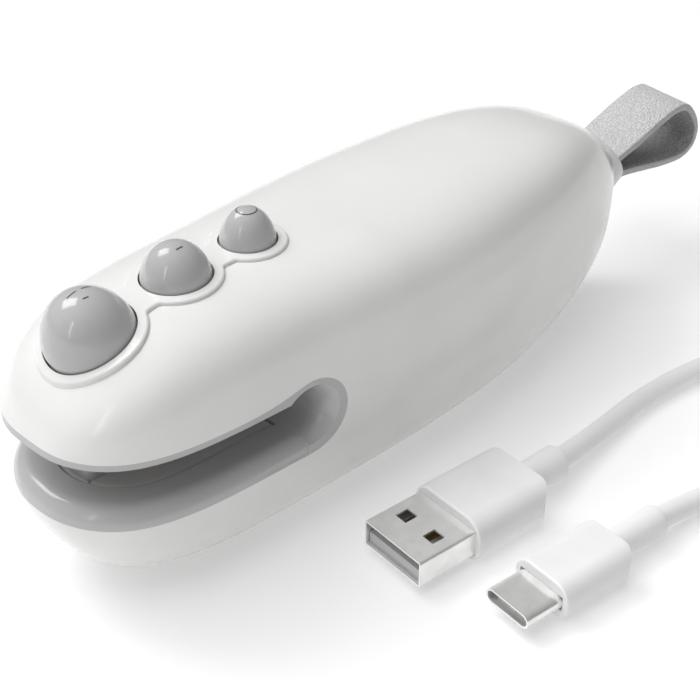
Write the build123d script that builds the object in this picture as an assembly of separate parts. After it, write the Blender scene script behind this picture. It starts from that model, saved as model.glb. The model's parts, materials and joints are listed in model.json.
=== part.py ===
from build123d import *
import os
from math import cos, pi, radians, sin, tan

# Handheld bag heat sealer with its charging cable.
# Frame: +X runs from the nose to the tail, +Z is up, and the part is symmetric about Y = 0
# apart from the cable. Lengths are in millimetres. Places along the body are given as "s",
# the distance from the nose tip, and x_at(s) turns them into X.

# ---- overall sizes ----
BODY_LENGTH = 125.0
STRAP_REACH = 27.6
NOSE_X = -(BODY_LENGTH + STRAP_REACH) / 2
WALL = 2.0
FIT_GAP = 0.05

# ---- body shape: distance from the nose, half width, underside height, top height ----
SECTIONS = (
    (0.6, 4.4, 16.1, 25.8),
    (2.5, 8.8, 10.7, 30.7),
    (6.0, 12.7, 5.9, 34.9),
    (12.0, 15.6, 2.2, 38.4),
    (20.0, 17.1, 0.0, 40.2),
    (34.0, 18.2, -1.2, 41.0),
    (50.0, 19.6, -1.2, 41.1),
    (66.0, 20.2, -1.2, 41.2),
    (82.0, 19.2, -1.2, 41.2),
    (96.0, 17.0, 0.2, 40.7),
    (107.0, 14.0, 2.6, 38.7),
    (115.0, 10.9, 5.5, 34.9),
    (120.5, 7.5, 8.4, 29.3),
    (124.0, 3.8, 11.2, 21.5),
)
NOSE_TIP_Z = 21.2
TAIL_TIP_Z = 15.4
WIDEST_AT = 0.62
CROWN_POWER = 3.2
BELLY_POWER = 2.6
SECTION_POINTS = 24

# ---- mouth slot ----
SLOT_TOP = 27.4
SLOT_END_S = 34.6
SLOT_END_Z = 22.45
SLOT_END_RADIUS = 6.3
SLOT_BOTTOM = SLOT_END_Z - SLOT_END_RADIUS
SLOT_NECK_ROUND = 40.0
THROAT_TOP = 26.5
THROAT_BOTTOM = 19.0
THROAT_S = 34.0
THROAT_RADIUS = (THROAT_TOP - THROAT_BOTTOM) / 2
THROAT_Z = (THROAT_TOP + THROAT_BOTTOM) / 2
FLARE_RADIUS = 5.8
FLARE_FROM_Y = 14.6
FLARE_TO_Y = 18.9
LINER_SPLIT_Z = 22.3
LIP_ROUND = 2.6
ANVIL_GROOVE = 0.25
ANVIL_END_S = 33.0
PAD_TOP = 21.2

# ---- sealing head ----
SEAL_TILT = 19.2
SEAL_TRAVEL = 3.5
HEAD_TRAVEL = SEAL_TRAVEL * cos(radians(SEAL_TILT))
HEAD_BOTTOM = 24.6
HEAD_TOP = 30.2
HEAD_FROM_S = 6.3
HEAD_TO_S = 32.0
HEAD_HALF_WIDTH = 3.95
FRONT_PIN = (10.8, 7.6)
SPRING_PIN = (19.0, 7.5)
SPRING_BASE = SLOT_TOP + 0.5
SPRING_SEAT = 33.4
FOOT_RADIUS = 2.2

# ---- buttons: distance from the nose, surface height, dome radius, dome height ----
SEAL_BUTTON = (12.2, 38.45, 6.4, 7.0)
MODE_BUTTON = (27.0, 40.75, 4.97, 5.5)
POWER_BUTTON = (40.1, 41.05, 4.1, 5.4)
BUTTON_GAP = 0.22
BUTTON_TRAVEL = 0.8
RIM_WIDTH = 1.4
RIM_HEIGHT = 0.5
RIM_ROUND = 0.4
RIM_NOSE_TRIM = 0.6
RIM_NECKS = (3.4, 3.0)
RIM_NECK_ROUND = 0.9
BEZEL_DEPTH = 2.7

# ---- underside cover ----
COVER_FROM_S = 24.0
COVER_TO_S = 90.0
COVER_HALF_WIDTH = 6.6
COVER_THICKNESS = 1.2
LEDGE_END = 7.0
LEDGE_SIDE = 1.4
SCREW_S = (27.6, 86.4)
SCREW_Y = 3.5

# ---- electronics ----
BOARD_Z = 34.6
BOARD_THICKNESS = 0.8
SWITCH_TOP = 36.5
CELL_RADIUS = 7.0
CELL_LENGTH = 50.0
CELL_FROM_S = 51.0
CELL_Z = 16.0
PORT_Z = 15.0
PORT_WIDTH = 8.94
PORT_HEIGHT = 3.26

# ---- strap ----
COLLAR_S = 121.5
COLLAR_Z = 24.0
COLLAR_TILT = 60.0
COLLAR_HALF = (6.5, 7.0)
COLLAR_RISE = 3.2
PIN_S = 117.6
PIN_Z = 23.4
PIN_RADIUS = 0.9
STRAP_WIDTH = 10.4
STRAP_THICKNESS = 1.4
STRAP_END_S = BODY_LENGTH + STRAP_REACH - 6.3
STRAP_END_Z = 24.4

# ---- charging cable ----
CORD_RADIUS = 1.75
CORD_Z = CORD_RADIUS + 0.05
USB_A_FRONT = (47.6, -32.2)
USB_A_TURN = -6.8
USB_A_Z = 3.9
USB_C_FRONT = (47.0, -49.9)
USB_C_TURN = -8.0
USB_C_Z = 3.1
USB_A_RELIEF = 8.2
USB_C_RELIEF = 10.0
COIL_CENTRE = (119.0, -80.0)
COIL_RADIUS = 19.0


def x_at(s):
    return NOSE_X + s


def point(s, y, z):
    return Vector(x_at(s), y, z)


def box(s0, s1, y0, y1, z0, z1):
    centre = point((s0 + s1) / 2, (y0 + y1) / 2, (z0 + z1) / 2)
    return Location(centre) * Box(s1 - s0, y1 - y0, z1 - z0)


def rounded_box(s0, s1, y0, y1, z0, z1, radius):
    """A box with its four vertical edges rounded."""
    face = RectangleRounded(s1 - s0, y1 - y0, radius)
    return Location(point((s0 + s1) / 2, (y0 + y1) / 2, z0)) * extrude(face, z1 - z0)


def upright(s, y, z0, z1, radius):
    return Location(point(s, y, z0)) * extrude(Circle(radius), z1 - z0)


def across(s, z, half_length, radius):
    """A cylinder along Y."""
    return Location(point(s, 0, z), (90, 0, 0)) * Cylinder(radius, 2 * half_length)


def single(shape):
    """The largest solid of a result, without any slivers beside it."""
    return max(shape.solids(), key=lambda solid: solid.volume)


# ---- body ----

def section_face(s, half_width, low, high):
    """One cross section of the body: a rounded box that is fuller on top than underneath."""
    widest = low + WIDEST_AT * (high - low)
    points = []
    for i in range(SECTION_POINTS):
        angle = 2 * pi * i / SECTION_POINTS
        upper = sin(angle) >= 0
        power = 2 / (CROWN_POWER if upper else BELLY_POWER)
        reach = (high - widest) if upper else (widest - low)
        y = half_width * abs(cos(angle)) ** power * (1 if cos(angle) >= 0 else -1)
        z = widest + reach * abs(sin(angle)) ** power * (1 if upper else -1)
        points.append(point(s, y, z))
    return Face(Wire([Spline(*points, periodic=True)]))


def body_solid(inset=0.0):
    """The body's outer form, or the same form drawn in all round by inset."""
    squeeze = (BODY_LENGTH - 2 * inset) / BODY_LENGTH
    faces = [Vertex(*point(inset, 0, NOSE_TIP_Z))]
    for s, half_width, low, high in SECTIONS:
        floor = max(low, 0.0) if inset > 0 else low
        faces.append(section_face(inset + s * squeeze, half_width - inset, floor + inset, high - inset))
    faces.append(Vertex(*point(BODY_LENGTH - inset, 0, TAIL_TIP_Z)))
    form = single(loft(faces))
    if inset > 0:
        return form
    return single(form - box(-5, BODY_LENGTH + 5, -30, 30, -9, 0))


# ---- mouth slot ----

def side_prism(sketch, half_length=40.0):
    """A sketch drawn with (s, z) coordinates, pushed out both ways along Y."""
    plane = Plane(origin=(NOSE_X, 0, 0), x_dir=(1, 0, 0), z_dir=(0, -1, 0))
    return extrude(plane * sketch, half_length, both=True)


def rectangle(s0, s1, z0, z1):
    return Pos((s0 + s1) / 2, (z0 + z1) / 2) * Rectangle(s1 - s0, z1 - z0)


def slot_prism(grow=0.0):
    """The opening cut through the shell: open at the nose, with a round bulb at its end."""
    bar = rectangle(-8, SLOT_END_S, SLOT_BOTTOM - grow, SLOT_TOP + grow)
    bulb = Pos(SLOT_END_S, SLOT_END_Z) * Circle(SLOT_END_RADIUS + grow)
    outline = bar + bulb
    neck = [v for v in outline.vertices() if v.Y > SLOT_TOP - 1 and 20 < v.X < SLOT_END_S]
    return side_prism(fillet(neck, SLOT_NECK_ROUND))


def throat_prism():
    """The free space inside the slot."""
    bar = rectangle(-8, THROAT_S, THROAT_BOTTOM, THROAT_TOP)
    return side_prism(bar + Pos(THROAT_S, THROAT_Z) * Circle(THROAT_RADIUS))


def flare(side):
    """The funnel that widens the round end of the throat towards one side of the body."""
    start = (THROAT_RADIUS, FLARE_FROM_Y)
    end = (FLARE_RADIUS, FLARE_TO_Y)
    curve = TangentArc(start, end, tangent=(0, 1))
    edges = [Line((0, FLARE_FROM_Y), start), curve, Line(end, (0, FLARE_TO_Y)),
             Line((0, FLARE_TO_Y), (0, FLARE_FROM_Y))]
    funnel = revolve(make_face(edges), Axis.Y)
    centre = Location(point(THROAT_S, 0, THROAT_Z), (0, 0, 0 if side > 0 else 180))
    return centre * funnel


def plan_outline(body, z):
    """The body's outline in plan at one height."""
    cut = section(body, section_by=Plane.XY.offset(z))
    return cut.faces().sort_by(SortBy.AREA)[-1]


def jaw_outline(body, end_s):
    """The plan outline at the slot's lower rim, from the nose back to end_s."""
    keep = Location(point((end_s - 10) / 2, 0, SLOT_BOTTOM)) * Rectangle(end_s + 10, 60)
    return (plan_outline(body, SLOT_BOTTOM) & keep).faces().sort_by(SortBy.AREA)[-1]


def anvil_outline(grow, height):
    """Plan outline of the platform inside the lower lip, square at its rear end."""
    end = ANVIL_END_S + grow
    half = [(end, 11.8 + grow), (19.0, 10.7 + grow), (10.0 - 0.6 * grow, 7.9 + 0.8 * grow), (6.2 - grow, 0.0)]
    points = half + [(s, -y) for s, y in half[-2::-1]]
    curve = Spline(*[point(s, y, height) for s, y in points])
    return make_face([curve, Line(curve @ 1, curve @ 0)])


def lower_liner(body, shell_space):
    """Lower half of the mouth lining: the broad rounded lip and the lower half of the slot's end."""
    mound = extrude(jaw_outline(body, THROAT_S + 4), THROAT_BOTTOM - SLOT_BOTTOM, dir=(0, 0, 1))
    rim = mound.faces().sort_by(Axis.Z)[-1].edges().sort_by(Axis.X)[:-1]
    mound = fillet(rim, LIP_ROUND)
    lip = mound & box(-5, THROAT_S, -30, 30, 0, 40)
    heel = body & slot_prism() & box(THROAT_S, 60, -30, 30, 0, LINER_SPLIT_Z)
    tray = shell_space & box(0, 38, -30, 30, SLOT_BOTTOM - 1.5, SLOT_BOTTOM)
    liner = lip + heel + tray - throat_prism() - flare(1) - flare(-1)
    recess = extrude(anvil_outline(ANVIL_GROOVE, SLOT_BOTTOM + 0.3), 5, dir=(0, 0, 1))
    return single(liner - recess)


def upper_liner(body, shell_space):
    """Upper half of the mouth lining: a thin plate with the head's window and four pin holes."""
    plate = body & slot_prism() & box(-5, 60, -30, 30, LINER_SPLIT_Z, 40)
    liner = plate - throat_prism() - flare(1) - flare(-1)
    flange = shell_space & box(3, 30, -30, 30, SLOT_TOP, SPRING_BASE)
    liner = liner + flange
    slack = 0.25
    liner -= box(HEAD_FROM_S - slack, HEAD_TO_S + slack, -HEAD_HALF_WIDTH - slack,
                 HEAD_HALF_WIDTH + slack, 20, 32)
    for s, y in pin_places():
        liner -= upright(s, y, 20, 40, 1.0)
    return single(liner)


def pin_places():
    return [(s, side * y) for s, y in (FRONT_PIN, SPRING_PIN) for side in (-1, 1)]


def anvil_plate():
    """Platform inside the lower lip that carries the silicone pad in a shallow channel."""
    base = SLOT_BOTTOM + 0.3
    plate = extrude(anvil_outline(0.0, base), THROAT_BOTTOM - base, dir=(0, 0, 1))
    plate = fillet(plate.faces().sort_by(Axis.Z)[-1].edges(), 0.45)
    return single(plate - box(7.0, 31.6, -3.6, 3.6, THROAT_BOTTOM - 0.8, 30))


def silicone_pad():
    pad = rounded_box(7.0, 31.6, -3.6, 3.6, THROAT_BOTTOM - 0.8, PAD_TOP, 1.2)
    return fillet(pad.faces().sort_by(Axis.Z)[-1].edges(), 0.8)


# ---- sealing head ----

def foot_s():
    """Where the plunger's foot stands on the head."""
    s, z, radius, height = SEAL_BUTTON
    return s + (z - HEAD_TOP - FOOT_RADIUS) * tan(radians(SEAL_TILT))


def heater_head():
    """Carrier of the heating strip, with a pair of guide ears in front and a spring seat behind."""
    head = box(HEAD_FROM_S, HEAD_TO_S, -3.7, 3.7, HEAD_BOTTOM + 0.55, HEAD_TOP)
    head = chamfer(head.faces().sort_by(Axis.X)[0].edges().sort_by(Axis.Z)[-1:], 1.8)
    front_s, front_y = FRONT_PIN
    ear_low = SPRING_BASE + HEAD_TRAVEL + 0.1
    ear = rounded_box(front_s - 1.8, front_s + 1.8, -front_y - 1.8, front_y + 1.8, ear_low, ear_low + 0.8, 1.75)
    spring_s, spring_y = SPRING_PIN
    seat = rounded_box(spring_s - 2.7, spring_s + 2.7, -spring_y - 2.7, spring_y + 2.7,
                       SPRING_SEAT, SPRING_SEAT + 1.0, 2.4)
    front_web = box(front_s - 1.2, front_s + 1.2, -3.7, 3.7, HEAD_TOP, ear_low + 0.8)
    rear_web = box(spring_s - 0.2, spring_s + 2.4, -3.7, 3.7, HEAD_TOP, SPRING_SEAT)
    head = head + ear + seat + front_web + rear_web
    head -= upright(foot_s() + 0.6, 0, HEAD_TOP, 40, FOOT_RADIUS + 1.0)
    for s, y in pin_places():
        head -= upright(s, y, 20, 40, 1.0 + 0.1)
    return single(head)


def heating_strip():
    strip = box(HEAD_FROM_S + 1, HEAD_TO_S - 1, -1.5, 1.5, HEAD_BOTTOM + 0.25, HEAD_BOTTOM + 0.55)
    for s in (HEAD_FROM_S + 0.7, HEAD_TO_S - 0.7):
        strip += box(s - 0.7, s + 0.7, -1.5, 1.5, HEAD_BOTTOM + 0.25, HEAD_BOTTOM + 0.55)
    return single(strip)


def ptfe_cover():
    """Non-stick cloth under the strip, turned up along both sides of the head."""
    cover = box(HEAD_FROM_S, HEAD_TO_S, -HEAD_HALF_WIDTH, HEAD_HALF_WIDTH, HEAD_BOTTOM, HEAD_BOTTOM + 2.4)
    cover -= box(HEAD_FROM_S - 1, HEAD_TO_S + 1, -3.7, 3.7, HEAD_BOTTOM + 0.25, HEAD_TOP)
    return single(cover)


def guide_pins():
    pins = []
    for s, y in pin_places():
        top = 32.9 if s < SPRING_PIN[0] else SPRING_SEAT + 1.6
        pins.append(single(fillet(upright(s, y, THROAT_TOP, top, 1.0).edges().sort_by(Axis.Z)[-1:], 0.3)))
    return Compound(pins)


def coil_spring(s, y, z0, z1, radius, wire, turns):
    """A helical compression spring standing between two heights."""
    height = z1 - z0 - wire
    path = Helix(pitch=height / turns, height=height, radius=radius)
    start = path @ 0
    profile = Plane(origin=start, z_dir=path % 0) * Circle(wire / 2)
    return Location(point(s, y, z0 + wire / 2)) * sweep(profile, path=path, is_frenet=True)


def return_springs():
    s, y = SPRING_PIN
    return Compound([single(coil_spring(s, side * y, SPRING_BASE, SPRING_SEAT, 2.0, 0.42, 4)) for side in (-1, 1)])


# ---- buttons ----

def dome_profile(radius, height, depth):
    """Half of a dome's outline: a straight skirt under sides that lean in to a round crown."""
    straight = 0.3
    crown = Bezier((radius, 0, straight), (0.93 * radius, 0, 0.56 * height),
                   (0.56 * radius, 0, height), (0, 0, height))
    base = Polyline((0, 0, height), (0, 0, -depth), (radius, 0, -depth), (radius, 0, straight))
    return Face(Wire([*base.edges(), *crown.edges()]))


def dome(radius, height, skirt, flange, wall):
    """A hollow push button in its own frame, with its rim at the body's surface."""
    outer = revolve(dome_profile(radius, height, skirt), Axis.Z)
    outer += Pos(0, 0, -skirt) * extrude(Circle(radius + flange), 0.8)
    inner = revolve(dome_profile(radius - wall, height - wall, skirt + 1), Axis.Z)
    return single(outer - inner)


def seal_place():
    s, z, radius, height = SEAL_BUTTON
    return Location(point(s, 0, z), (0, -SEAL_TILT, 0))


def seal_button():
    s, z, radius, height = SEAL_BUTTON
    return seal_place() * dome(radius, height, BEZEL_DEPTH + 1.0, 0.7, 1.3)


def seal_plunger():
    """Stem inside the big button: its rounded foot pushes the heater head down."""
    s, z, radius, height = SEAL_BUTTON
    foot_height = (HEAD_TOP + 0.05 + FOOT_RADIUS - z) / cos(radians(SEAL_TILT))
    top = height - 1.3 - 1.2
    stem = Pos(0, 0, foot_height) * extrude(Circle(FOOT_RADIUS), top - foot_height)
    foot = Pos(0, 0, foot_height) * Sphere(FOOT_RADIUS)
    disc = Pos(0, 0, 0.3) * extrude(Circle(radius - 1.3 - 0.4), 1.2)
    return single(seal_place() * (stem + foot + disc))


def small_button(spec):
    """A short-stroke dome with a solid base that presses its switch."""
    s, z, radius, height = spec
    rim_low = z - BEZEL_DEPTH - 0.1
    base = SWITCH_TOP + 0.4 + BUTTON_TRAVEL + 0.1
    shape = dome(radius, height, z - base, 0.0, 1.2)
    shape += Pos(0, 0, base - z) * extrude(Circle(radius + 0.7), rim_low - base)
    return single(Location(point(s, 0, z)) * (shape + Pos(0, 0, base - z) * extrude(Circle(radius - 0.5), 0.8)))


def small_spring(spec):
    s, z, radius, height = spec
    base = SWITCH_TOP + 0.4 + BUTTON_TRAVEL + 0.1
    return single(coil_spring(s, 0, BOARD_Z + BOARD_THICKNESS, base, 3.35, 0.3, 2.5))


def rim_outline(margin):
    """Plan outline of the raised rim: three rings joined by short necks with soft corners."""
    places = (SEAL_BUTTON, MODE_BUTTON, POWER_BUTTON)
    outline = None
    for spec, squash, trim in zip(places, (cos(radians(SEAL_TILT)), 1.0, 1.0), (RIM_NOSE_TRIM, 0, 0)):
        s, z, radius, height = spec
        reach = radius + BUTTON_GAP + RIM_WIDTH + margin
        ring = Pos(x_at(s) + trim / 2, 0) * Ellipse(reach * squash - trim / 2, reach)
        outline = ring if outline is None else outline + ring
    for first, second, half in zip(places, places[1:], RIM_NECKS):
        middle = Pos(x_at((first[0] + second[0]) / 2 + 0.6), 0)
        outline += middle * Rectangle(6.0, 2 * (half + margin))
    corners = [v for v in outline.vertices() if abs(v.Y) > 1.0]
    return fillet(corners, RIM_NECK_ROUND)


def button_holes():
    s, z, radius, height = SEAL_BUTTON
    holes = seal_place() * (Pos(0, 0, -12) * extrude(Circle(radius + BUTTON_GAP), 24))
    for s, z, radius, height in (MODE_BUTTON, POWER_BUTTON):
        holes += upright(s, 0, z - 10, z + 10, radius + BUTTON_GAP)
    return holes


def flange_room():
    """Space under the rim for the buttons' retaining flanges."""
    radius = SEAL_BUTTON[2]
    room = seal_place() * (Pos(0, 0, -12) * extrude(Circle(radius + 2.2), 12 - BEZEL_DEPTH))
    for s, z, radius, height in (MODE_BUTTON, POWER_BUTTON):
        room += upright(s, 0, z - 10, z - BEZEL_DEPTH, radius + 1.1)
    return room


def button_bezel(body, raised):
    """Raised rim around the three buttons, with a spigot that drops into the shell's opening."""
    plug = single(extrude(Pos(0, 0, 28) * rim_outline(0.0), 20) & raised)
    plug = fillet(plug.faces().sort_by(Axis.Z)[-1].edges(), RIM_ROUND)
    shoulder = extrude(Pos(0, 0, 20) * (rim_outline(1.0) - rim_outline(-0.7)), 40) & body
    return single(plug - shoulder - body_solid(BEZEL_DEPTH) - button_holes() - flange_room())


# ---- housing and its cover ----

def cover_plan(shrink, z0, z1):
    return rounded_box(COVER_FROM_S + shrink, COVER_TO_S - shrink, -COVER_HALF_WIDTH + shrink,
                       COVER_HALF_WIDTH - shrink, z0, z1, 4.0 - min(shrink, 2.0))


def ledge_plan(shrink, z0, z1):
    return rounded_box(COVER_FROM_S + LEDGE_END + shrink, COVER_TO_S - LEDGE_END - shrink,
                       -COVER_HALF_WIDTH + LEDGE_SIDE + shrink, COVER_HALF_WIDTH - LEDGE_SIDE - shrink,
                       z0, z1, 2.0)


def screw_places():
    return [(s, side * SCREW_Y) for s in SCREW_S for side in (-1, 1)]


def bottom_cover():
    cover = cover_plan(0.1, 0, COVER_THICKNESS) + ledge_plan(0.1, COVER_THICKNESS, WALL)
    for s, y in screw_places():
        cover -= upright(s, y, -1, 3, 1.1)
        cover -= Location(point(s, y, 0.3)) * Cone(2.1, 1.1, 0.8, align=(Align.CENTER, Align.CENTER, Align.MIN))
        cover -= upright(s, y, -1, 0.3, 2.1)
    return single(cover)


def cover_screws():
    """Countersunk self-tapping screws with a cross recess, from below."""
    screws = []
    for s, y in screw_places():
        head = Location(point(s, y, 0.35)) * Cone(2.0, 1.0, 0.75, align=(Align.CENTER, Align.CENTER, Align.MIN))
        screw = head + upright(s, y, 0.5, 7.0, 0.8)
        for angle in (0, 90):
            blade = Location(point(s, y, 0.6), (0, 0, angle)) * Box(2.2, 0.5, 0.6)
            screw -= blade
        screws.append(single(screw))
    return Compound(screws)


def main_housing(body, cavity):
    """One-piece white shell: nose jaws, sides, top and tail."""
    shell = body - cavity - slot_prism()
    shell -= extrude(Pos(0, 0, 28) * rim_outline(-0.65), 20)
    shell -= cover_plan(0.0, -1, COVER_THICKNESS)
    shell -= ledge_plan(0.0, -1, 4)
    for s, y in screw_places():
        boss = upright(s, y, COVER_THICKNESS, 8.0, 2.2) & body
        shell += boss
    for s, y in screw_places():
        shell -= upright(s, y, 0, 7.2, 0.82)
    shell -= collar_form(FIT_GAP)
    shell -= across(PIN_S, PIN_Z, 8.4, PIN_RADIUS + 0.02)
    shell -= port_form(PORT_WIDTH + 0.5, PORT_HEIGHT + 0.5, 110, 130)
    return single(shell)


# ---- electronics ----

def control_board():
    board = rounded_box(22.6, 58.0, -9.5, 9.5, BOARD_Z, BOARD_Z + BOARD_THICKNESS, 1.5)
    for s, y in ((50.0, -6.5), (50.0, 6.5)):
        board -= upright(s, y, BOARD_Z - 1, BOARD_Z + 2, 1.1)
    return single(board)


def board_screws():
    """Two screws that hang the board from posts under the shell's roof."""
    screws = []
    for y in (-6.5, 6.5):
        screw = upright(50.0, y, BOARD_Z - 1.2, BOARD_Z, 1.9) + upright(50.0, y, BOARD_Z - 0.5, BOARD_Z + 3.4, 0.95)
        screws.append(single(screw))
    return Compound(screws)


def board_posts():
    """Posts that come down from the roof onto the board."""
    return [upright(50.0, y, BOARD_Z + BOARD_THICKNESS, 40.0, 2.4) - upright(50.0, y, 30, 38.2, 0.97)
            for y in (-6.5, 6.5)]


def tact_switches():
    switches = []
    for spec in (MODE_BUTTON, POWER_BUTTON):
        s = spec[0]
        low = BOARD_Z + BOARD_THICKNESS
        body = rounded_box(s - 2.2, s + 2.2, -2.2, 2.2, low, SWITCH_TOP, 0.4)
        switches.append(single(body + upright(s, 0, SWITCH_TOP, SWITCH_TOP + 0.4, 1.0)))
    return Compound(switches)


def cell_cylinder(radius, s0, s1):
    return Location(point(s0, 0, CELL_Z), (0, 90, 0)) * extrude(Circle(radius), s1 - s0)


def battery_cell():
    cell = cell_cylinder(CELL_RADIUS, CELL_FROM_S, CELL_FROM_S + CELL_LENGTH - 1)
    cell = fillet(cell.edges(), 0.6)
    return single(cell + cell_cylinder(2.7, CELL_FROM_S + CELL_LENGTH - 1.2, CELL_FROM_S + CELL_LENGTH))


def battery_cradle(space):
    low = CELL_FROM_S - 3.0
    high = CELL_FROM_S + CELL_LENGTH + 3.0
    cradle = box(low, high, -8.4, 8.4, CELL_Z - CELL_RADIUS - 0.8, CELL_Z)
    for s in (low + 6, high - 34):
        cradle += box(s, s + 5, -7.6, 7.6, WALL + 0.2, CELL_Z - CELL_RADIUS)
    cradle -= cell_cylinder(CELL_RADIUS + 0.1, CELL_FROM_S - 1.2, CELL_FROM_S + CELL_LENGTH + 1.2)
    return single(cradle & space)


def battery_contacts():
    """Flat tab at the positive end and a sprung tab at the negative end."""
    front = box(CELL_FROM_S - 1.15, CELL_FROM_S - 0.75, -3, 3, CELL_Z - 3, CELL_Z + 5)
    front += Location(point(CELL_FROM_S - 0.76, 0, CELL_Z), (0, 90, 0)) * extrude(Circle(2.0), 0.7)
    end = CELL_FROM_S + CELL_LENGTH
    rear = box(end + 0.05, end + 0.45, -3, 3, CELL_Z - 3, CELL_Z + 5)
    return Compound([single(front), single(rear)])


def charge_board(space):
    low = PORT_Z - PORT_HEIGHT / 2 - 0.8
    return single(rounded_box(106.5, 121.0, -4.6, 4.6, low, low + 0.8, 0.8) & space)


def port_form(width, height, s0, s1):
    """A stadium-shaped bar along X at the charging port."""
    plane = Plane(origin=point(s0, 0, PORT_Z), x_dir=(0, 1, 0), z_dir=(1, 0, 0))
    return extrude(plane * SlotOverall(width, height), s1 - s0)


def charge_port_shell():
    shell = port_form(PORT_WIDTH, PORT_HEIGHT, 117.4, 124.2)
    return single(shell - port_form(PORT_WIDTH - 0.6, PORT_HEIGHT - 0.6, 118.2, 126))


def charge_port_tongue():
    block = port_form(PORT_WIDTH - 0.7, PORT_HEIGHT - 0.7, 118.2, 119.2)
    return single(block + box(119.2, 123.6, -3.3, 3.3, PORT_Z - 0.35, PORT_Z + 0.35))


# ---- strap ----

def collar_form(grow=0.0, low=-8.0, high=COLLAR_RISE):
    """An oval peg square to the tail's shoulder."""
    place = Location(point(COLLAR_S, 0, COLLAR_Z), (0, COLLAR_TILT, 0))
    oval = Ellipse(COLLAR_HALF[0] + grow, COLLAR_HALF[1] + grow)
    return place * (Pos(0, 0, low) * extrude(oval, high - low))


def strap_collar():
    """Oval socket of the strap, with a flared mouth."""
    place = Location(point(COLLAR_S, 0, COLLAR_Z), (0, COLLAR_TILT, 0))
    peg = Pos(0, 0, -3.0) * extrude(Ellipse(*COLLAR_HALF), COLLAR_RISE + 3.0)
    peg = fillet(peg.faces().sort_by(Axis.Z)[-1].edges(), 1.0)
    collar = place * peg
    mouth = box(110, 135, -STRAP_WIDTH / 2 - 0.4, STRAP_WIDTH / 2 + 0.4, PIN_Z - 2.9, PIN_Z + 3.3)
    bore = across(PIN_S, PIN_Z, 8.4, PIN_RADIUS + 0.05)
    return single(collar - mouth - bore)


def strap_outline(grow):
    """The strap's outline in (s, z): round its pin, out along two leaves and round its far bend."""
    turn = PIN_RADIUS + 0.25 + STRAP_THICKNESS / 2 + grow
    end_radius = 6.3 - STRAP_THICKNESS / 2 + grow
    lean = radians(12)
    pin = (PIN_S, PIN_Z)
    end = (STRAP_END_S, STRAP_END_Z)
    pin_top = (pin[0], pin[1] + turn)
    pin_low = (pin[0], pin[1] - turn)
    end_top = (end[0] - end_radius * sin(lean), end[1] + end_radius * cos(lean))
    end_low = (end[0] - end_radius * sin(lean), end[1] - end_radius * cos(lean))
    upper = Spline(pin_top, (126.0, PIN_Z + 1.35 + grow), (133.5, 26.3 + grow), end_top,
                   tangents=[(1, 0), (cos(lean), sin(lean))])
    lower = Spline(end_low, (134.5, 20.8 - grow), (126.5, PIN_Z - 1.15 - grow), pin_low,
                   tangents=[(-cos(lean), sin(lean)), (-1, 0)])
    bend = ThreePointArc(end_top, (end[0] + end_radius, end[1]), end_low)
    wrap = ThreePointArc(pin_low, (pin[0] - turn, pin[1]), pin_top)
    return make_face([upper, bend, lower, wrap])


def strap():
    half = STRAP_THICKNESS / 2
    return single(side_prism(strap_outline(half) - strap_outline(-half), STRAP_WIDTH / 2))


def strap_pin():
    return across(PIN_S, PIN_Z, 8.2, PIN_RADIUS)


# ---- charging cable ----

def plug_place(front, turn, height):
    """Frame of a plug: origin at the grip's front, +X towards the cord."""
    return Location(point(front[0], front[1], height), (0, 0, turn))


def grip(length, width, height, corner, heel):
    """A moulded grip: round sides, a crisp front edge and rounded corners at the cord's end."""
    body = Pos(length / 2, 0, 0) * Box(length, width, height)
    body = fillet(body.edges().filter_by(Axis.X), corner)
    plan = Pos(length / 2 - 5, 0, 0) * Box(length + 10, width, height + 2)
    plan = fillet(plan.edges().filter_by(Axis.Z).sort_by(Axis.X)[-2:], heel)
    body = single(body & plan)
    return fillet(body.faces().sort_by(Axis.X)[0].edges(), 0.35)


def relief(start, length, near, far):
    """A sleeve that swells slightly towards a rounded end."""
    place = Location((start, 0, 0), (0, 90, 0))
    sleeve = Cone(near, far, length, align=(Align.CENTER, Align.CENTER, Align.MIN))
    return place * fillet(sleeve.edges().sort_by(Axis.Z)[-1:], 0.55)


def usb_a_parts():
    """The rectangular plug: stamped shell with two windows a side, tongue, contacts, grip, relief."""
    place = plug_place(USB_A_FRONT, USB_A_TURN, USB_A_Z)
    reach = 10.4
    shell = Pos(-reach / 2 + 1, 0, 0) * Box(reach + 2, 12.0, 4.5)
    shell = fillet(shell.edges().filter_by(Axis.X), 0.4)
    shell -= Pos(-reach / 2 + 0.4, 0, 0) * Box(reach + 1.4, 11.4, 3.9)
    for y in (-2.9, 2.9):
        shell -= Pos(-reach + 5.2, y, 0) * Box(2.3, 2.2, 6)
    tongue = Pos(-reach / 2 + 0.2, 0, -0.95) * Box(reach - 0.8, 11.2, 1.9)
    contacts = []
    for y, length in ((-3.5, 7.4), (-1.0, 6.4), (1.0, 6.4), (3.5, 7.4)):
        contacts.append(Pos(-length / 2 + 0.2, y, 0.1) * Box(length, 1.0, 0.2))
    hold = grip(14.8, 14.0, 7.6, 3.0, 2.6) - Pos(0.95, 0, 0) * Box(2.1, 12.02, 4.52)
    sleeve = relief(14.8, USB_A_RELIEF, 2.5, 2.8)
    rest = {"usb_a_shell": single(shell), "usb_a_tongue": single(tongue), "usb_a_contacts": Compound(contacts),
            "usb_a_grip": single(hold), "usb_a_strain_relief": single(sleeve)}
    return {name: place * shape for name, shape in rest.items()}


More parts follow.
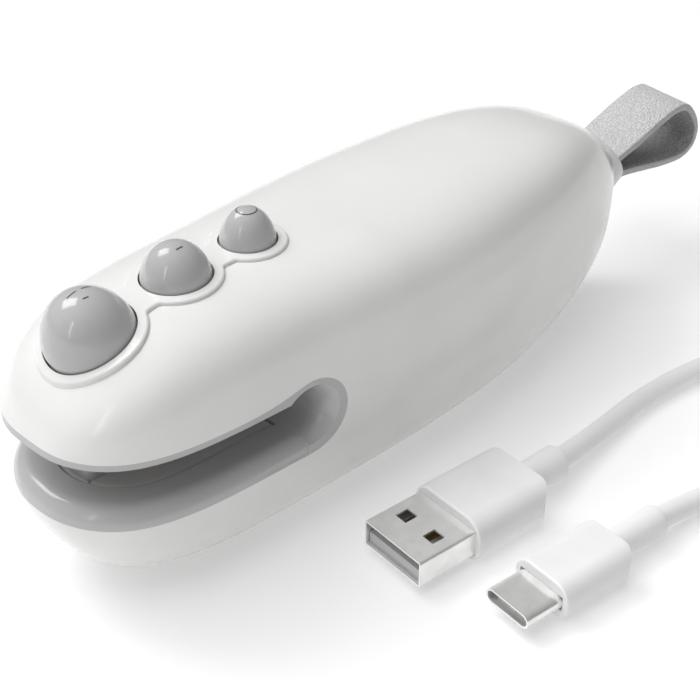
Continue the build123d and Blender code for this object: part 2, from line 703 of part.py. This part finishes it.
def usb_c_parts():
    """The oval plug: drawn shell, centre tongue, contact rows, grip and relief."""
    place = plug_place(USB_C_FRONT, USB_C_TURN, USB_C_Z)
    plane = Plane(origin=(0, 0, 0), x_dir=(0, 1, 0), z_dir=(-1, 0, 0))
    reach = 6.4
    shell = extrude(plane * SlotOverall(8.25, 2.4), reach) + extrude(plane * SlotOverall(8.25, 2.4), -1.5)
    shell -= Pos(-0.8, 0, 0) * extrude(plane * SlotOverall(7.65, 1.8), reach)
    rows = []
    for z in (-0.66, 0.66):
        rows.append(Pos(-reach / 2 - 0.2, 0, z) * Box(reach - 2.4, 5.6, 0.3))
    hold = grip(13.6, 10.4, 6.0, 2.7, 2.2) - Pos(0.74, 0, 0) * Box(1.6, 8.3, 2.45)
    sleeve = relief(13.6, USB_C_RELIEF, 2.25, 2.5)
    rest = {"usb_c_shell": single(shell), "usb_c_contacts": Compound(rows), "usb_c_grip": single(hold),
            "usb_c_strain_relief": single(sleeve)}
    return {name: place * shape for name, shape in rest.items()}


def plug_exit(front, turn, height, reach):
    return point(front[0] + reach * cos(radians(turn)), front[1] + reach * sin(radians(turn)), height)


def cord_route_a():
    """From the rectangular plug, along the surface and round into the coil."""
    return [plug_exit(USB_A_FRONT, USB_A_TURN, USB_A_Z, 14.8 + USB_A_RELIEF), point(81.0, -35.0, 2.7),
            point(94.0, -33.6, CORD_Z), point(109.5, -34.9, CORD_Z), point(124.0, -40.0, CORD_Z),
            point(135.0, -50.5, CORD_Z), point(140.3, -65.0, CORD_Z), point(139.8, -79.0, CORD_Z)]


def cord_route_c():
    """From the oval plug, along the surface and up onto the coil."""
    return [plug_exit(USB_C_FRONT, USB_C_TURN, USB_C_Z, 13.6 + USB_C_RELIEF), point(78.8, -54.2, 2.2),
            point(86.6, -57.0, CORD_Z), point(92.6, -62.8, CORD_Z + 0.5), point(96.6, -70.2, 3.9),
            point(98.6, -79.0, 4.9)]


def cord_tube(route):
    """A round cord along straight runs joined by the widest arcs that the runs allow."""
    radii = []
    for before, corner, after in zip(route, route[1:], route[2:]):
        turn = radians((corner - before).get_angle(after - corner))
        radii.append(0.45 * min((corner - before).length, (after - corner).length) / tan(turn / 2))
    print("cord bend radii", [round(r, 1) for r in radii])
    path = FilletPolyline(*route, radius=radii)
    profile = Plane(origin=route[0], z_dir=route[1] - route[0]) * Circle(CORD_RADIUS)
    tube = single(sweep(profile, path=path))
    print("cord length", round(path.length, 1), "volume ratio",
          round(tube.volume / (pi * CORD_RADIUS ** 2 * path.length), 4))
    return tube


def cord_coil():
    """Outer shape of the wound spare length: two turns side by side with more on top."""
    ring = Pos(COIL_RADIUS, 2 * CORD_RADIUS + 0.75) * RectangleRounded(4 * CORD_RADIUS, 4 * CORD_RADIUS, 1.7)
    coil = revolve(Plane.XZ * ring, Axis.Z)
    return Location(point(*COIL_CENTRE, 0)) * coil


def coil_tie():
    """A flat tie strapped round one side of the coil."""
    thick = 0.7
    inner = 4 * CORD_RADIUS + 0.1
    ring = RectangleRounded(inner + 2 * thick, inner + 2 * thick, 2.0) - RectangleRounded(inner, inner, 1.7)
    band = revolve(Plane.XZ * Pos(COIL_RADIUS, inner / 2 + thick) * ring, Axis.Z, revolution_arc=18)
    return Location(point(*COIL_CENTRE, 0), (0, 0, -99)) * band


def build():
    body = body_solid()
    cavity = body_solid(WALL)
    inner = body_solid(WALL + 0.25)
    raised = body_solid(-RIM_HEIGHT)
    housing = main_housing(body, cavity)
    for post in board_posts():
        housing += post & body
    nodes = {
        "main_housing": single(housing),
        "bottom_cover": bottom_cover(),
        "cover_screws": cover_screws(),
        "button_bezel": button_bezel(body, raised),
        "upper_liner": upper_liner(body, inner),
        "lower_liner": lower_liner(body, inner),
        "anvil_plate": anvil_plate(),
        "silicone_pad": silicone_pad(),
        "guide_pins": guide_pins(),
        "return_springs": return_springs(),
        "heater_head": heater_head(),
        "heating_strip": heating_strip(),
        "ptfe_cover": ptfe_cover(),
        "seal_button": seal_button(),
        "seal_plunger": seal_plunger(),
        "mode_button": small_button(MODE_BUTTON),
        "mode_spring": small_spring(MODE_BUTTON),
        "power_button": small_button(POWER_BUTTON),
        "power_spring": small_spring(POWER_BUTTON),
        "control_board": control_board(),
        "board_screws": board_screws(),
        "tact_switches": tact_switches(),
        "battery_cell": battery_cell(),
        "battery_cradle": battery_cradle(inner),
        "battery_contacts": battery_contacts(),
        "charge_board": charge_board(inner),
        "charge_port_shell": charge_port_shell(),
        "charge_port_tongue": charge_port_tongue(),
        "strap_collar": strap_collar(),
        "strap": strap(),
        "strap_pin": strap_pin(),
        "cord_from_usb_a": cord_tube(cord_route_a()),
        "cord_from_usb_c": cord_tube(cord_route_c()),
        "cord_coil": cord_coil(),
        "coil_tie": coil_tie(),
    }
    nodes.update(usb_a_parts())
    nodes.update(usb_c_parts())
    return nodes


os.makedirs("parts", exist_ok=True)
for name, shape in build().items():
    shape.label = name
    export_step(shape, f"parts/{name}.step")
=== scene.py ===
import json
from math import cos, pi, radians, sin

import bmesh
import bpy
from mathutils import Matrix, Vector
from mathutils.bvhtree import BVHTree


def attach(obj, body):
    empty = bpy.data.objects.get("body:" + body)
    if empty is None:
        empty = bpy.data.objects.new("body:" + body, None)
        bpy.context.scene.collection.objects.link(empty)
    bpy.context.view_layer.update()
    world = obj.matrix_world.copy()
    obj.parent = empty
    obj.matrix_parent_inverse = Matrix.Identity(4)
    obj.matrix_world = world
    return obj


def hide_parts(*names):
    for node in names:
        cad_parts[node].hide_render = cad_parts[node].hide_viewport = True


MM = 0.001
NOSE_X = -76.3

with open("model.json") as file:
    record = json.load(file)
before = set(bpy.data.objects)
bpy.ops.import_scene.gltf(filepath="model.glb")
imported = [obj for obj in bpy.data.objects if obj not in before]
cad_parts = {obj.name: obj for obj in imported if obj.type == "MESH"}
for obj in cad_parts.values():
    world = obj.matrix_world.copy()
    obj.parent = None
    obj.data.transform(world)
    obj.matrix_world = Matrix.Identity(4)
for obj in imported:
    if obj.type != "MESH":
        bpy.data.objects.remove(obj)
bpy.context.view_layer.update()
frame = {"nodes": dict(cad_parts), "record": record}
nodes = frame["nodes"]


def place(s, y, z):
    """A point given as distance from the nose, y and z in millimetres, in the row frame in metres."""
    return Vector(((NOSE_X + s) * MM, y * MM, z * MM))


# ---------------------------------------------------------------- camera

def make_camera():
    azimuth, elevation, distance = radians(-45.89), radians(33.81), 0.2247
    target = place(60.7, 0, 12.8)
    direction = Vector((sin(azimuth) * cos(elevation), -cos(azimuth) * cos(elevation), sin(elevation)))
    data = bpy.data.cameras.new("camera")
    data.lens = 72
    data.sensor_width = 36
    data.clip_start = 0.01
    camera = bpy.data.objects.new("camera", data)
    camera.location = target + direction * distance
    camera.rotation_euler = direction.to_track_quat("Z", "Y").to_euler()
    bpy.context.scene.collection.objects.link(camera)
    bpy.context.scene.camera = camera


make_camera()

# ---------------------------------------------------------------- materials


class Nodes:
    """A short way to write one material's node tree."""

    def __init__(self, name):
        self.material = bpy.data.materials.new(name)
        self.material.use_nodes = True
        self.tree = self.material.node_tree
        self.shader = self.tree.nodes["Principled BSDF"]
        self.coords = self.tree.nodes.new("ShaderNodeTexCoord").outputs["Object"]

    def add(self, kind, **inputs):
        node = self.tree.nodes.new("ShaderNode" + kind)
        for key, value in inputs.items():
            socket = node.inputs[key.replace("_", " ")]
            if isinstance(value, bpy.types.NodeSocket):
                self.tree.links.new(value, socket)
            else:
                socket.default_value = value
        return node

    def link(self, output, socket):
        self.tree.links.new(output, socket)

    def stretch(self, x, y, z):
        mapping = self.add("Mapping", Vector=self.coords, Scale=(x, y, z))
        return mapping.outputs["Vector"]

    def noise(self, scale, detail=3.0, roughness=0.5, vector=None):
        node = self.add("TexNoise", Vector=vector or self.coords, Scale=scale, Detail=detail, Roughness=roughness)
        return node.outputs["Fac"]

    def span(self, value, low, high, start=0.3, end=0.7):
        node = self.add("MapRange", Value=value, From_Min=start, From_Max=end, To_Min=low, To_Max=high)
        return node.outputs["Result"]

    def shade(self, factor, low, high):
        """A colour between two colours, by a factor."""
        node = self.tree.nodes.new("ShaderNodeMix")
        node.data_type = "RGBA"
        self.link(factor, node.inputs["Factor"])
        colours = [socket for socket in node.inputs if socket.type == "RGBA"]
        colours[0].default_value = (*low, 1)
        colours[1].default_value = (*high, 1)
        return [socket for socket in node.outputs if socket.type == "RGBA"][0]

    def bump(self, height, depth, strength=1.0, below=None):
        node = self.add("Bump", Height=height, Distance=depth, Strength=strength)
        if below is not None:
            self.link(below, node.inputs["Normal"])
        return node.outputs["Normal"]

    def set(self, **values):
        for key, value in values.items():
            socket = self.shader.inputs[key.replace("_", " ")]
            if isinstance(value, bpy.types.NodeSocket):
                self.link(value, socket)
            else:
                socket.default_value = value
        return self.material


def tint(colour, factor):
    return tuple(min(1.0, channel * factor) for channel in colour)


def moulded(name, colour, gloss, grain=5200.0, depth=0.000004, wave=0.00002, variation=0.025, **extra):
    """Moulded plastic: fine grain, the faint waviness of a moulded skin and slight cloudiness."""
    n = Nodes(name)
    cloud = n.span(n.noise(55.0, 2.0), 0.0, 1.0)
    skin = n.bump(n.noise(160.0, 1.0), wave, 0.35)
    fine = n.bump(n.noise(grain, 2.0), depth, 0.6, skin)
    rough = n.span(n.noise(900.0, 4.0), gloss * 0.88, gloss * 1.14)
    return n.set(Base_Color=n.shade(cloud, tint(colour, 1 - variation), tint(colour, 1 + variation)),
                 Roughness=rough, Normal=fine, **extra)


def metal(name, colour, gloss, lines=(60.0, 9000.0, 9000.0), depth=0.0000015, variation=0.06, metallic=1.0):
    """Drawn or brushed metal, with long fine lines and cloudy tarnish."""
    n = Nodes(name)
    drawn = n.noise(1.0, 3.0, 0.6, n.stretch(*lines))
    cloud = n.span(n.noise(420.0, 4.0), 0.0, 1.0)
    rough = n.span(drawn, gloss * 0.75, gloss * 1.35)
    return n.set(Base_Color=n.shade(cloud, tint(colour, 1 - variation), tint(colour, 1 + variation)),
                 Metallic=metallic, Roughness=rough, Normal=n.bump(drawn, depth, 0.5))


def silicone():
    n = Nodes("silicone")
    dust = n.span(n.noise(2600.0, 5.0), 0.0, 1.0, 0.4, 0.75)
    return n.set(Base_Color=n.shade(dust, (0.42, 0.42, 0.424), (0.47, 0.47, 0.474)),
                 Roughness=n.span(n.noise(1500.0, 3.0), 0.5, 0.66), Sheen_Weight=0.15,
                 Normal=n.bump(n.noise(7000.0, 3.0), 0.000012, 0.6))


def glass_cloth():
    """Brown woven glass cloth with a non-stick coat."""
    n = Nodes("glass_cloth")
    along = n.add("TexWave", Vector=n.stretch(1, 0, 0), Scale=520.0, Distortion=0.4, Detail=1.0)
    across = n.add("TexWave", Vector=n.stretch(0, 1, 1), Scale=520.0, Distortion=0.4, Detail=1.0)
    across.bands_direction = "DIAGONAL"
    weave = n.add("Math", Value=along.outputs["Fac"])
    weave.operation = "MAXIMUM"
    n.link(across.outputs["Fac"], weave.inputs[1])
    return n.set(Base_Color=n.shade(weave.outputs["Value"], (0.34, 0.29, 0.23), (0.52, 0.46, 0.38)),
                 Roughness=n.span(n.noise(1100.0), 0.38, 0.5),
                 Normal=n.bump(weave.outputs["Value"], 0.00004, 0.7))


def circuit_board():
    n = Nodes("circuit_board")
    bricks = n.add("TexBrick", Vector=n.coords, Scale=620.0, Mortar_Size=0.05,
                   Color1=(0.02, 0.11, 0.06, 1), Color2=(0.02, 0.14, 0.07, 1), Mortar=(0.04, 0.22, 0.11, 1))
    return n.set(Base_Color=bricks.outputs["Color"], Roughness=n.span(n.noise(800.0), 0.3, 0.42),
                 Coat_Weight=0.3, Coat_Roughness=0.2, Normal=n.bump(bricks.outputs["Fac"], 0.00003, 0.5))


def leather(name, low, high, gloss, grain=2500.0, depth=0.00018):
    """Pebbled leather: small rounded pebbles parted by fine creases, over a faintly cloudy colour, with painted shade:
    the colour is darker in the creases and lighter on the pebble tops.
    """
    n = Nodes(name)
    warp = n.add("TexNoise", Vector=n.coords, Scale=1100.0, Detail=2.0)
    mixed = n.add("VectorMath")
    mixed.operation = "MULTIPLY_ADD"
    n.link(warp.outputs["Color"], mixed.inputs[0])
    mixed.inputs[1].default_value = (0.0006, 0.0006, 0.0006)
    n.link(n.coords, mixed.inputs[2])
    cells = n.add("TexVoronoi", Vector=mixed.outputs["Vector"], Scale=grain)
    pebble = n.span(cells.outputs["Distance"], 1.0, 0.0, 0.15, 0.75)
    fibre = n.noise(9000.0, 4.0, 0.6)
    # Painted shade: the colour darkens from the pebble tops into the creases, multiplied by a faint random cloudiness.
    cloud_and_crease_shade = n.add("Math", Value=pebble)
    cloud_and_crease_shade.operation = "MULTIPLY"
    n.link(n.span(n.noise(240.0, 4.0), 0.8, 1.1), cloud_and_crease_shade.inputs[1])
    return n.set(Base_Color=n.shade(cloud_and_crease_shade.outputs["Value"], low, high),
                 Roughness=n.span(pebble, gloss * 1.15, gloss * 0.9, 0.0, 1.0), Specular_IOR_Level=0.4,
                 Sheen_Weight=0.1, Normal=n.bump(fibre, 0.000008, 0.5, n.bump(pebble, depth, 0.8)))


def edge_paint():
    """The rounded painted edge of cut leather."""
    n = Nodes("edge_paint")
    streak = n.noise(1.0, 3.0, 0.6, n.stretch(500.0, 5200.0, 900.0))
    return n.set(Base_Color=n.shade(n.span(streak, 0, 1), (0.36, 0.362, 0.365), (0.46, 0.462, 0.465)),
                 Roughness=n.span(n.noise(1800.0), 0.42, 0.56), Normal=n.bump(streak, 0.00003, 0.5))


def ink(name, colour):
    n = Nodes(name)
    wear = n.span(n.noise(5200.0, 4.0), 0.0, 1.0, 0.3, 0.6)
    return n.set(Base_Color=n.shade(wear, tint(colour, 1.5), colour), Roughness=0.34,
                 Normal=n.bump(n.noise(9000.0), 0.000004, 0.5))


def cable_skin(name, colour):
    """Soft white jacket with a fine matt grain."""
    n = Nodes(name)
    cloud = n.span(n.noise(140.0, 3.0), 0.0, 1.0)
    grain = n.noise(4200.0, 3.0, 0.6)
    return n.set(Base_Color=n.shade(cloud, tint(colour, 0.97), tint(colour, 1.02)),
                 Roughness=n.span(grain, 0.32, 0.44), Subsurface_Weight=0.08, Subsurface_Scale=0.001,
                 Subsurface_Radius=(1.0, 0.95, 0.9), Normal=n.bump(grain, 0.000008, 0.6))


WHITE = (0.78, 0.777, 0.768)
finishes = {
    "white_shell": moulded("white_shell", WHITE, 0.2, Coat_Weight=0.25, Coat_Roughness=0.08),
    "grey_liner": moulded("grey_liner", (0.47, 0.47, 0.474), 0.19, Coat_Weight=0.3, Coat_Roughness=0.06),
    "grey_button": moulded("grey_button", (0.45, 0.45, 0.455), 0.17, Coat_Weight=0.5, Coat_Roughness=0.04),
    "silicone": silicone(),
    "dark_plastic": moulded("dark_plastic", (0.035, 0.035, 0.038), 0.38, 3200.0, 0.00002),
    "steel": metal("steel", (0.70, 0.695, 0.69), 0.24),
    "plated": metal("plated", (0.90, 0.895, 0.885), 0.17, metallic=0.62),
    "gold_contact": metal("gold_contact", (0.83, 0.62, 0.28), 0.2),
    "ptfe": glass_cloth(),
    "board": circuit_board(),
    "cell_wrap": moulded("cell_wrap", (0.05, 0.18, 0.42), 0.24, 2600.0, 0.00001),
    "collar": moulded("collar", (0.74, 0.74, 0.735), 0.26),
    "white_cable": cable_skin("white_cable", (0.87, 0.87, 0.875)),
}
slots = {part["node"]: part["material_slot"] for part in frame["record"]["subparts"]}


def dress(obj, material):
    obj.data.materials.clear()
    obj.data.materials.append(material)


for name, node in nodes.items():
    if slots[name] in finishes:
        dress(node, finishes[slots[name]])


# ---------------------------------------------------------------- charging cord

CORD_DIAMETER = 3.5 * MM
COIL = (119.0, -80.0)


def ease(value, start, end, low, high):
    """low before start, high after end, and a smooth change between them."""
    t = min(1.0, max(0.0, (value - start) / (end - start)))
    return low + (high - low) * t * t * (3 - 2 * t)


def coil_points():
    """Three and a half turns, clockwise: one outside, one inside it, one on that, and a half on the first."""
    points = []
    steps = 20
    for i in range(1, int(3.5 * steps)):
        turn = i / steps
        radius = ease(turn, 0.82, 1.0, 20.9, 17.3)
        radius = ease(turn, 2.62, 2.76, radius, 20.9)
        height = ease(turn, 1.8, 1.93, 1.8, 5.4)
        angle = -2 * pi * turn
        wobble = 0.12 * sin(5.3 * angle + 1.0) if i > 2 else 0.0
        points.append((COIL[0] + (radius + wobble) * cos(angle), COIL[1] + (radius + wobble) * sin(angle), height))
    return points


def make_cord():
    exit_a = (70.4382, -34.9233, 3.9)
    exit_c = (70.3703, -53.1845, 3.1)
    first = [exit_a, (81.5, -34.4, 2.6), (94.5, -33.2, 1.8), (109.5, -34.9, 1.8), (124.0, -40.0, 1.8),
             (135.0, -50.5, 1.8), (140.3, -65.0, 1.8), (139.8, -79.0, 1.8)]
    last = [(98.6, -79.0, 4.9), (96.6, -70.2, 3.9), (92.6, -62.8, 2.3), (86.6, -57.0, 1.8), (78.8, -54.2, 2.2),
            exit_c]
    route = first + coil_points() + last
    curve = bpy.data.curves.new("charging_cord", "CURVE")
    curve.dimensions = "3D"
    curve.bevel_depth = CORD_DIAMETER / 2
    curve.bevel_resolution = 6
    curve.resolution_u = 6
    curve.use_fill_caps = True
    spline = curve.splines.new("NURBS")
    spline.points.add(len(route) - 1)
    for control, p in zip(spline.points, route):
        control.co = (*place(*p), 1)
    spline.order_u = 3
    spline.use_endpoint_u = True
    cord = bpy.data.objects.new("charging_cord", curve)
    bpy.context.scene.collection.objects.link(cord)
    dress(cord, finishes["white_cable"])
    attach(cord, "charging_cable")
    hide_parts("cord_from_usb_a", "cord_from_usb_c", "cord_coil")


make_cord()

# ---------------------------------------------------------------- meshes


def mesh_object(name, points, faces, materials, smooth=True):
    mesh = bpy.data.meshes.new(name)
    mesh.from_pydata(points, [], faces)
    mesh.validate()
    for material in materials:
        mesh.materials.append(material)
    for face in mesh.polygons:
        face.use_smooth = smooth
    obj = bpy.data.objects.new(name, mesh)
    bpy.context.scene.collection.objects.link(obj)
    return obj


def smooth_loop(points, steps):
    """A closed curve through the points, as evenly shared short steps."""
    result = []
    count = len(points)
    for i in range(count):
        p0, p1, p2, p3 = (Vector(points[(i + k) % count]) for k in (-1, 0, 1, 2))
        for k in range(steps):
            t = k / steps
            result.append(0.5 * (2 * p1 + (p2 - p0) * t + (2 * p0 - 5 * p1 + 4 * p2 - p3) * t * t
                                 + (3 * p1 - p0 - 3 * p2 + p3) * t * t * t))
    return result


# ---------------------------------------------------------------- strap

STRAP_LINE = ((117.6, 25.2), (121.5, 24.95), (124.5, 25.3), (128.0, 26.0), (131.7, 26.7), (135.7, 27.8),
              (140.0, 28.8), (143.5, 29.3), (146.8, 28.8), (149.4, 26.7), (151.2, 23.9), (151.4, 21.4),
              (150.2, 19.7), (147.0, 18.8), (140.8, 19.45), (134.6, 20.7), (126.9, 22.1), (121.5, 22.0),
              (117.6, 21.6), (115.8, 23.4))


def strap_section():
    """Half widths and heights of the strap's section, from the outside face round to the inside face."""
    half, thick, corner = 5.2, 0.7, 0.42
    ring = []
    for sy, sz, start in ((1, 1, 0), (-1, 1, 90), (-1, -1, 180), (1, -1, 270)):
        for k in range(5):
            angle = radians(start + 90 * k / 4)
            ring.append((sy * (half - corner) + corner * cos(angle), sz * (thick - corner) + corner * sin(angle)))
    return ring


def make_strap():
    line = smooth_loop([(s, z) for s, z in STRAP_LINE], 10)
    ring = strap_section()
    points, faces, kinds = [], [], []
    count, size = len(line), len(ring)
    for i, p in enumerate(line):
        ahead, behind = line[(i + 1) % count], line[i - 1]
        along = (ahead - behind).normalized()
        outward = Vector((-along.y, along.x))
        for y, h in ring:
            crown = 0.06 * (1 - (y / 5.2) ** 2) if h > 0.3 else 0.0
            q = p + outward * (h + crown)
            twist = ease(p.x, 121, 133, 0, 0.11) * (y + 5.2)
            points.append(place(q.x, y, q.y + twist))
    for i in range(count):
        j = (i + 1) % count
        for k in range(size):
            m = (k + 1) % size
            faces.append((i * size + k, i * size + m, j * size + m, j * size + k))
            heights = (ring[k][1], ring[m][1])
            kinds.append(0 if min(heights) > 0.55 else 2 if max(heights) < -0.55 else 1)
    # The darker colour of each leather is the painted shade in the creases. The lighter colour is the pebble tops.
    outer = leather("strap_leather", (0.52, 0.52, 0.523), (0.74, 0.74, 0.743), 0.46)
    inner = leather("strap_lining", (0.24, 0.242, 0.245), (0.38, 0.382, 0.385), 0.58, 2600.0, 0.0001)
    strap = mesh_object("strap_leather", points, faces, [outer, edge_paint(), inner])
    for face, kind in zip(strap.data.polygons, kinds):
        face.material_index = kind
    fix_normals(strap)
    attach(strap, "strap")
    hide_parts("strap")


def fix_normals(obj):
    work = bmesh.new()
    work.from_mesh(obj.data)
    bmesh.ops.recalc_face_normals(work, faces=work.faces)
    work.to_mesh(obj.data)
    work.free()


make_strap()

# ---------------------------------------------------------------- marks on the buttons


def surface(node):
    """What finds the outside of a CAD node, for laying a mark on it."""
    mesh = nodes[node].data
    return BVHTree.FromPolygons([v.co for v in mesh.vertices], [tuple(p.vertices) for p in mesh.polygons])


def mark(name, node, body, centre, tilt, line, material, width=0.22 * MM, closed=False):
    """A thin printed line on a dome. Each point is how far it leans from the dome's axis along X and Y, in degrees."""
    tree = surface(node)
    hits = []
    for along, sideways in line:
        local = Vector((sin(radians(along)), sin(radians(sideways)), 1.0))
        local.z = (1.0 - local.x ** 2 - local.y ** 2) ** 0.5
        turned = Vector((local.x * cos(tilt) - local.z * sin(tilt), local.y, local.x * sin(tilt) + local.z * cos(tilt)))
        start = centre + turned * 0.03
        where, normal, index, reach = tree.ray_cast(start, -turned)
        hits.append((where, turned))
    points, faces = [], []
    count = len(hits)
    for i, (where, normal) in enumerate(hits):
        ahead = hits[(i + 1) % count][0] if closed or i < count - 1 else where
        behind = hits[i - 1][0] if closed or i else where
        side = (ahead - behind).cross(normal).normalized() * width / 2
        for offset in (-side, side):
            at = tree.find_nearest(where + offset)
            points.append(at[0] + normal * 0.02 * MM)
    for i in range(count if closed else count - 1):
        j = (i + 1) % count
        faces.append((2 * i, 2 * i + 1, 2 * j + 1, 2 * j))
    obj = mesh_object(name, points, faces, [material])
    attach(obj, body)


def line_between(a, b, steps=8):
    return [(a[0] + (b[0] - a[0]) * k / steps, a[1] + (b[1] - a[1]) * k / steps) for k in range(steps + 1)]


def make_marks():
    black = ink("mark_ink", (0.045, 0.045, 0.05))
    tilt = radians(19.2)
    big, middle, small = place(12.2, 0, 38.45), place(27.0, 0, 40.75), place(40.1, 0, 41.05)
    dashes = (((-1.5, 2.8), (11.5, 3.6)), ((18.0, 3.4), (29.0, 2.9)), ((8.0, -12.0), (14.6, -13.0)))
    for i, (start, end) in enumerate(dashes):
        mark(f"seal_mark_{i + 1}", "seal_button", "seal_button", big, tilt, line_between(start, end), black)
    mark("mode_mark", "mode_button", "mode_button", middle, 0, line_between((-8.0, -15.4), (3.6, -15.2)), black)
    ring = [(16.0 * cos(2 * pi * k / 40), 16.0 * sin(2 * pi * k / 40)) for k in range(40)]
    mark("power_mark", "power_button", "power_button", small, 0, ring, black, width=0.17 * MM, closed=True)


make_marks()


# ---------------------------------------------------------------- floor and light

def make_floor():
    """A pale floor that glows very slightly, as paper lit from behind does."""
    n = Nodes("floor")
    n.set(Base_Color=(0.70, 0.70, 0.70, 1), Roughness=0.9, Specular_IOR_Level=0.1,
          Emission_Color=(1, 1, 1, 1), Emission_Strength=0.31)
    half, drop = 12.0, -0.0004
    floor = mesh_object("floor", [(-half, -half, drop), (half, -half, drop), (half, half, drop), (-half, half, drop)],
                        [(0, 1, 2, 3)], [n.material], smooth=False)


def area_light(name, direction, distance, size, power, roll=0.0, glossy=True):
    """A soft box that faces the object from the given direction."""
    data = bpy.data.lights.new(name, "AREA")
    data.shape = "RECTANGLE"
    data.size, data.size_y = size
    data.energy = power
    light = bpy.data.objects.new(name, data)
    away = Vector(direction).normalized()
    light.location = place(60, 0, 20) + away * distance
    turn = away.to_track_quat("Z", "Y").to_euler()
    turn.rotate_axis("Z", radians(roll))
    light.rotation_euler = turn
    light.visible_glossy = glossy
    bpy.context.scene.collection.objects.link(light)


def make_world():
    """A room that is bright above the nose's far side, dim opposite, with a pale wall low down all round."""
    world = bpy.data.worlds.new("studio")
    world.use_nodes = True
    bpy.context.scene.world = world
    tree = world.node_tree
    background = tree.nodes["Background"]
    direction = tree.nodes.new("ShaderNodeTexCoord")
    towards = tree.nodes.new("ShaderNodeVectorMath")
    towards.operation = "DOT_PRODUCT"
    towards.inputs[1].default_value = Vector((-0.45, 0.45, 0.77)).normalized()
    spread = tree.nodes.new("ShaderNodeMapRange")
    spread.inputs["From Min"].default_value = -0.6
    spread.inputs["From Max"].default_value = 1.0
    spread.inputs["To Min"].default_value = 0.0
    spread.inputs["To Max"].default_value = 0.42
    tree.links.new(direction.outputs["Generated"], towards.inputs[0])
    tree.links.new(towards.outputs["Value"], spread.inputs["Value"])
    height = tree.nodes.new("ShaderNodeSeparateXYZ")
    tree.links.new(direction.outputs["Generated"], height.inputs["Vector"])
    wall = tree.nodes.new("ShaderNodeMapRange")
    wall.interpolation_type = "SMOOTHSTEP"
    wall.inputs["From Min"].default_value = 0.10
    wall.inputs["From Max"].default_value = 0.25
    wall.inputs["To Min"].default_value = 0.30
    wall.inputs["To Max"].default_value = 0.0
    tree.links.new(height.outputs["Z"], wall.inputs["Value"])
    brighter = tree.nodes.new("ShaderNodeMath")
    brighter.operation = "MAXIMUM"
    tree.links.new(spread.outputs["Result"], brighter.inputs[0])
    tree.links.new(wall.outputs["Result"], brighter.inputs[1])
    tree.links.new(brighter.outputs["Value"], background.inputs["Strength"])
    background.inputs["Color"].default_value = (1, 1, 1, 1)


make_floor()
make_world()
area_light("window", (-0.17, 0.57, 0.80), 0.85, (0.34, 0.42), 2.4, roll=20)
area_light("strip", (-0.84, -0.16, 0.46), 0.85, (0.05, 0.5), 0.34)
area_light("overhead", (-0.28, 0.16, 0.95), 0.9, (1.0, 1.0), 6.8, glossy=False)
bpy.context.scene.view_settings.view_transform = "Standard"
